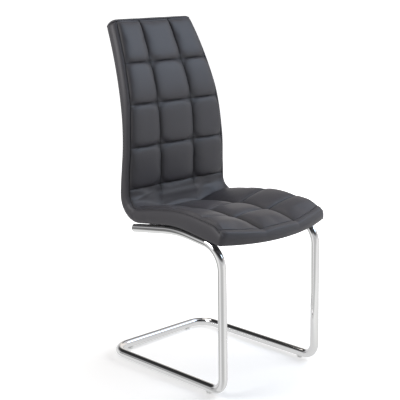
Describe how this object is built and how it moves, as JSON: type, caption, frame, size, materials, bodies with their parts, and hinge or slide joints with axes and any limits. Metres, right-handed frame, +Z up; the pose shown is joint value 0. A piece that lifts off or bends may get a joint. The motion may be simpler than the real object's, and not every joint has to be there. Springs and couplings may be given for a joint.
{
  "type": "cantilever dining chair",
  "caption": "High-back dining chair with a padded, quilted leather seat-and-back shell on a bent chrome tube cantilever frame.",
  "frame": {"origin": "on the floor, below the middle of the chair's bounding box", "axes": "+Z up, -Y towards the front of the seat, +X towards the sitter's left"},
  "size_m": [0.4244, 0.5651, 1.0055],
  "materials": {
    "grey_leather": "soft satin",
    "chrome_tube": "mirror polished",
    "bare_steel": "plain",
    "black_steel": "satin",
    "zinc_fixing": "plated",
    "black_plastic": "matte",
    "clear_glide": "slightly clear",
    "black_rubber": "matte",
    "webbing": "woven",
    "foam": "open cell",
    "dust_cloth": "felted"
  },
  "bodies": {
    "root": {"frame_tube_right": "chrome_tube", "frame_tube_left": "chrome_tube", "joining_sleeve": "bare_steel", "front_seat_brace": "black_steel", "rear_seat_brace": "black_steel", "tube_end_plugs": "black_plastic", "front_glides": "clear_glide", "rear_glides": "clear_glide", "seat_bolts": "zinc_fixing", "bolt_washers": "zinc_fixing", "mounting_tabs": "chrome_tube", "seat_spacers": "black_rubber", "weld_nuts": "zinc_fixing", "inner_rail_right": "bare_steel", "inner_rail_left": "bare_steel", "top_rail": "bare_steel", "lumbar_rail": "bare_steel", "front_mounting_strip": "bare_steel", "rear_mounting_strip": "bare_steel", "back_webbing": "webbing", "seat_webbing": "webbing", "back_foam": "foam", "seat_foam": "foam", "edge_foam_right": "foam", "edge_foam_left": "foam", "quilted_back_panel": "grey_leather", "quilted_seat_panel": "grey_leather", "side_border_right": "grey_leather", "side_border_left": "grey_leather", "top_border": "grey_leather", "front_border": "grey_leather", "outer_back_cover": "grey_leather", "bottom_dust_cover": "dust_cloth", "cover_staples": "zinc_fixing"}
  },
  "joints": []
}
